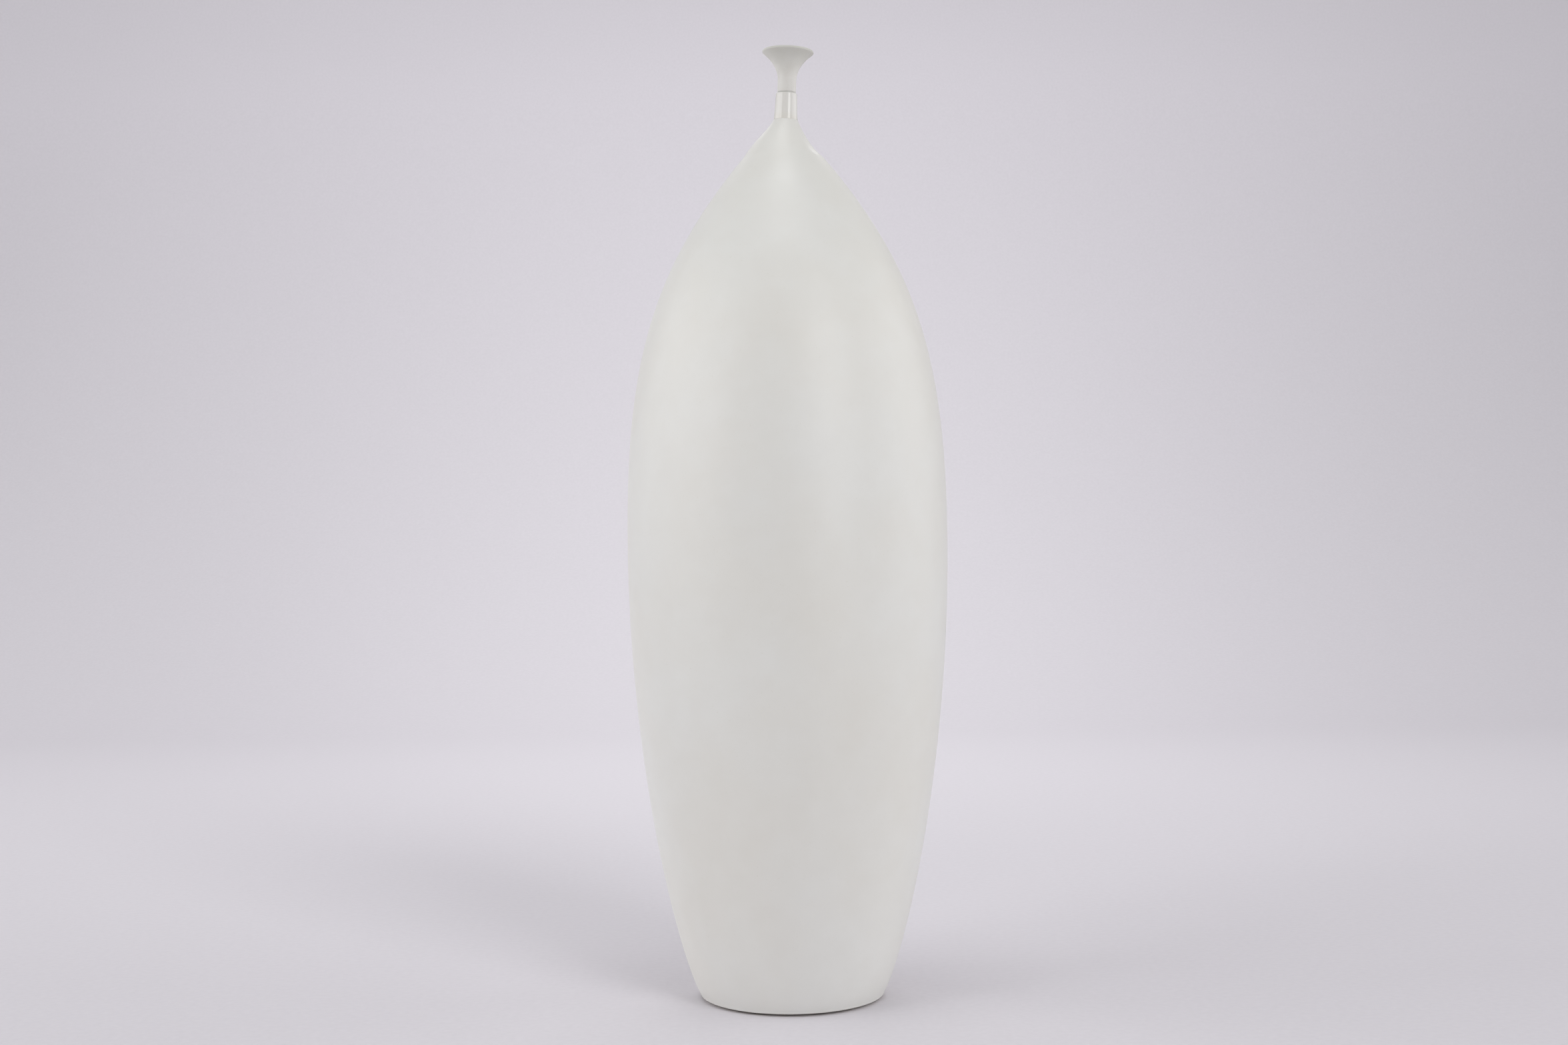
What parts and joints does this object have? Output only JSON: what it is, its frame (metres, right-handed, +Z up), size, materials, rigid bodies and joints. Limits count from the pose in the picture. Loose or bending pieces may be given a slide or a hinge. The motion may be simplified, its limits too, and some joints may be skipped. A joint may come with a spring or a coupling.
{
  "type": "bud vase",
  "caption": "Tall torpedo-shaped white ceramic bud vase with a thin glazed neck collar and a small flared mouthpiece that lifts out.",
  "frame": {"origin": "on the table, at the centre of the foot felt's underside, which is also the middle of the belly's circle", "axes": "+Z up along the vase, +X towards the side that the neck stands off to and leans to, -Y the side seen from the front"},
  "size_m": [0.1544, 0.1544, 0.4575],
  "materials": {
    "satin_glaze": "satin white glaze, faintly uneven in tone",
    "gloss_glaze": "clear glossy glaze over white",
    "matte_glaze": "matte white",
    "seal_silicone": "soft silicone, pale grey, dull",
    "felt": "pressed wool felt, grey"
  },
  "bodies": {
    "vase_base": {"body_shell": "satin_glaze", "neck_collar": "gloss_glaze", "foot_felt": "felt"},
    "seat": {"seal_ring": "seal_silicone"},
    "mouth": {"mouthpiece": "matte_glaze"}
  },
  "joints": [
    {"name": "mouthpiece_turn", "type": "hinge", "parent": "vase_base", "child": "seat", "pos_m": [0.0014, 0, 0.4233], "axis": [0.0436, 0, 0.999], "continuous": true},
    {"name": "mouthpiece_lift", "type": "slide", "parent": "seat", "child": "mouth", "axis": [0.0436, 0, 0.999], "range_m": [0, 0.024]}
  ]
}
